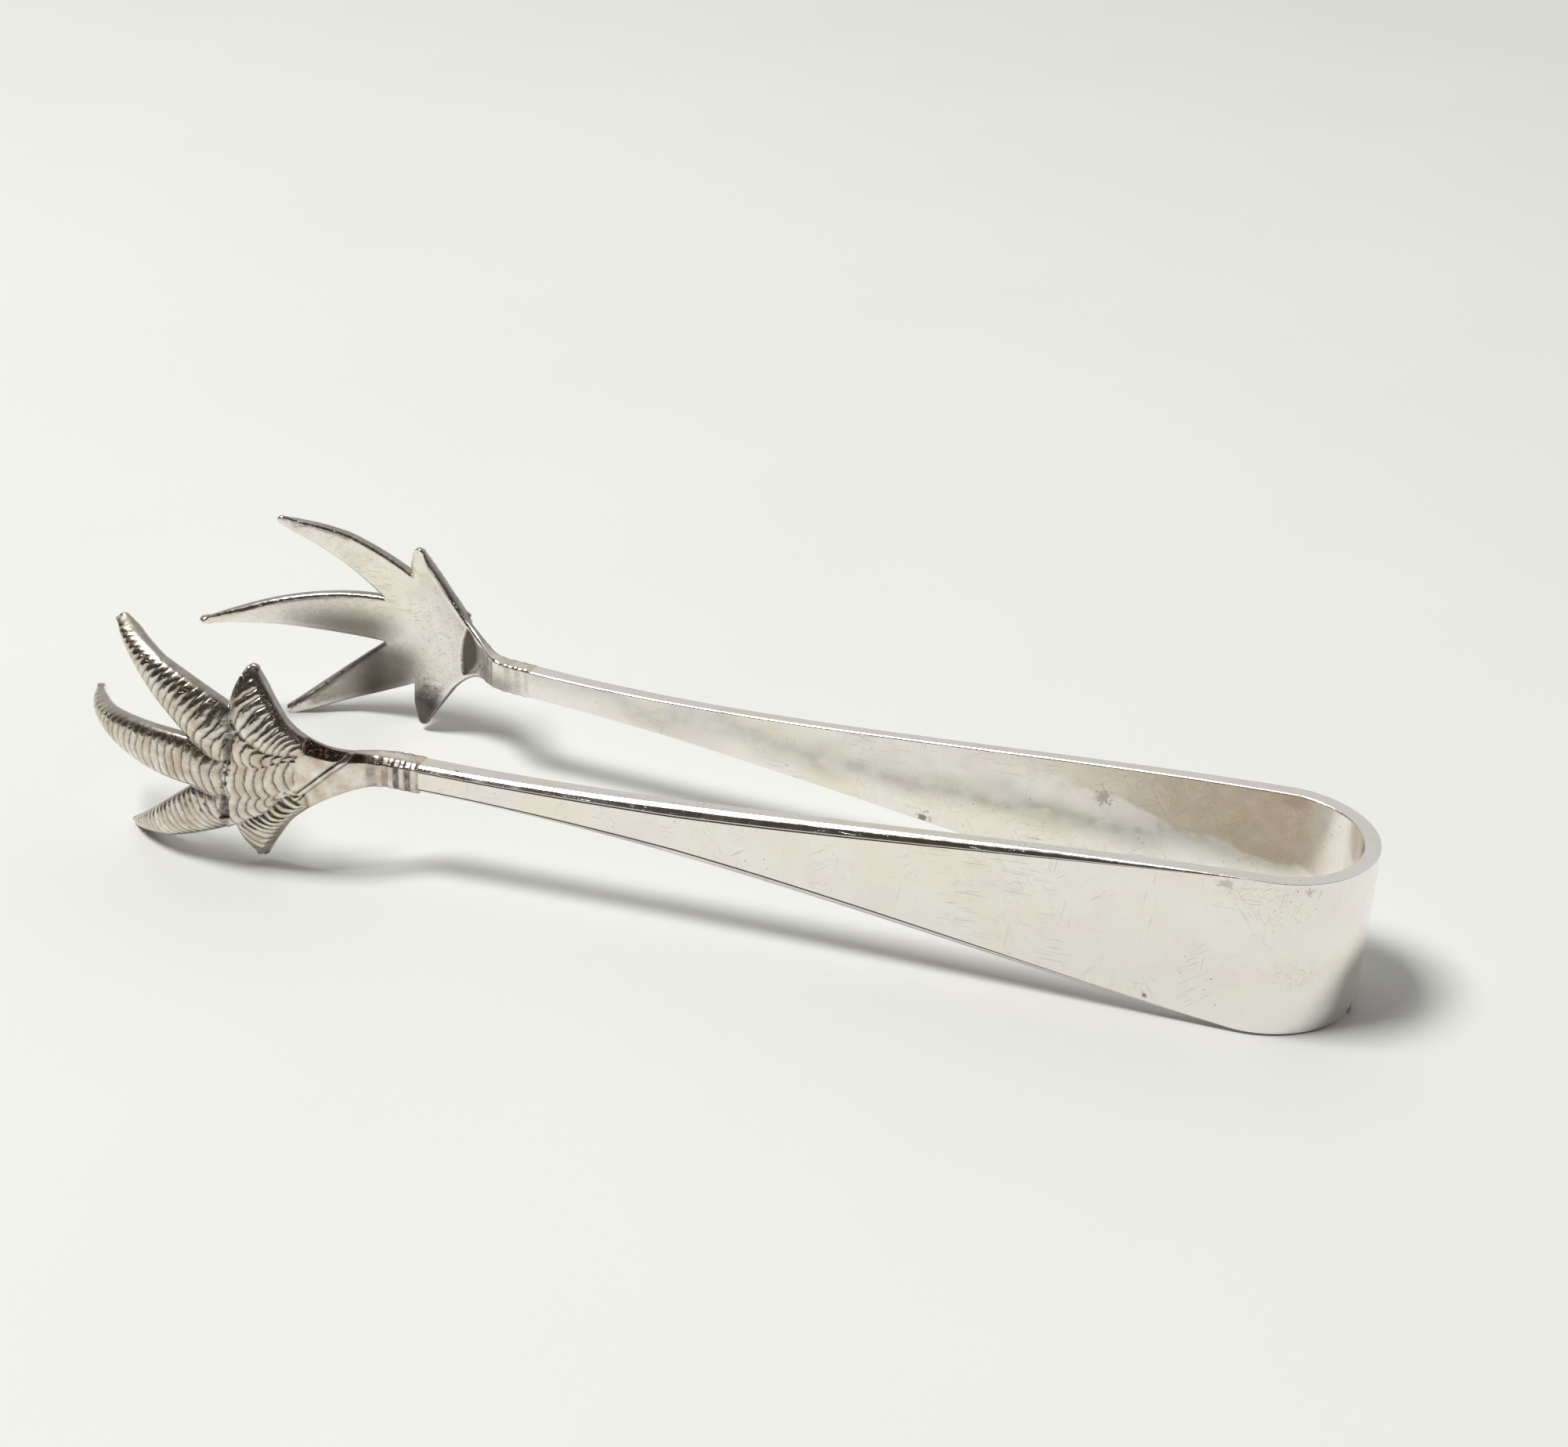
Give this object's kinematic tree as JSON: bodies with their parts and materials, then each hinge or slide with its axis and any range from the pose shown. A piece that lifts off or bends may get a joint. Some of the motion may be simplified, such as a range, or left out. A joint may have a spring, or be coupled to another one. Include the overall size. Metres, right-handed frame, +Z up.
{
  "type": "ice tongs",
  "caption": "Sprung ice tongs bent from one flat silver strip, with tapered arms and struck claw ends that close on ice.",
  "frame": {"origin": "on the table, under the middle of the tongs' overall box", "axes": "+Z up from the table, +X towards the bow, -X towards the claws, +Y towards the far arm; the strip lies about 2 degrees off level because the lower toes reach below the bow's edge"},
  "size_m": [0.1602, 0.0486, 0.0292],
  "materials": {
    "strip_silver": "polished silver with fine scratches and light tarnish",
    "claw_silver": "struck silver with dark tarnish left in the grooves"
  },
  "bodies": {
    "bow": {"bow_spring": "strip_silver"},
    "far": {"far_arm": "strip_silver", "far_claw": "claw_silver"},
    "near": {"near_arm": "strip_silver", "near_claw": "claw_silver"}
  },
  "joints": [
    {"name": "far_flex", "type": "hinge", "parent": "bow", "child": "far", "pos_m": [0.05348, 0.01029, 0.01043], "axis": [0.0335, 0, 0.9994], "range_deg": [0, 4.2], "stiffness_Nm_per_rad": 10},
    {"name": "near_flex", "type": "hinge", "parent": "bow", "child": "near", "pos_m": [0.05348, -0.01029, 0.01043], "axis": [-0.0335, 0, -0.9994], "range_deg": [0, 4.2], "stiffness_Nm_per_rad": 10}
  ],
  "couplings": [
    {"joint": "near_flex", "follows": "far_flex", "ratio": 1}
  ]
}
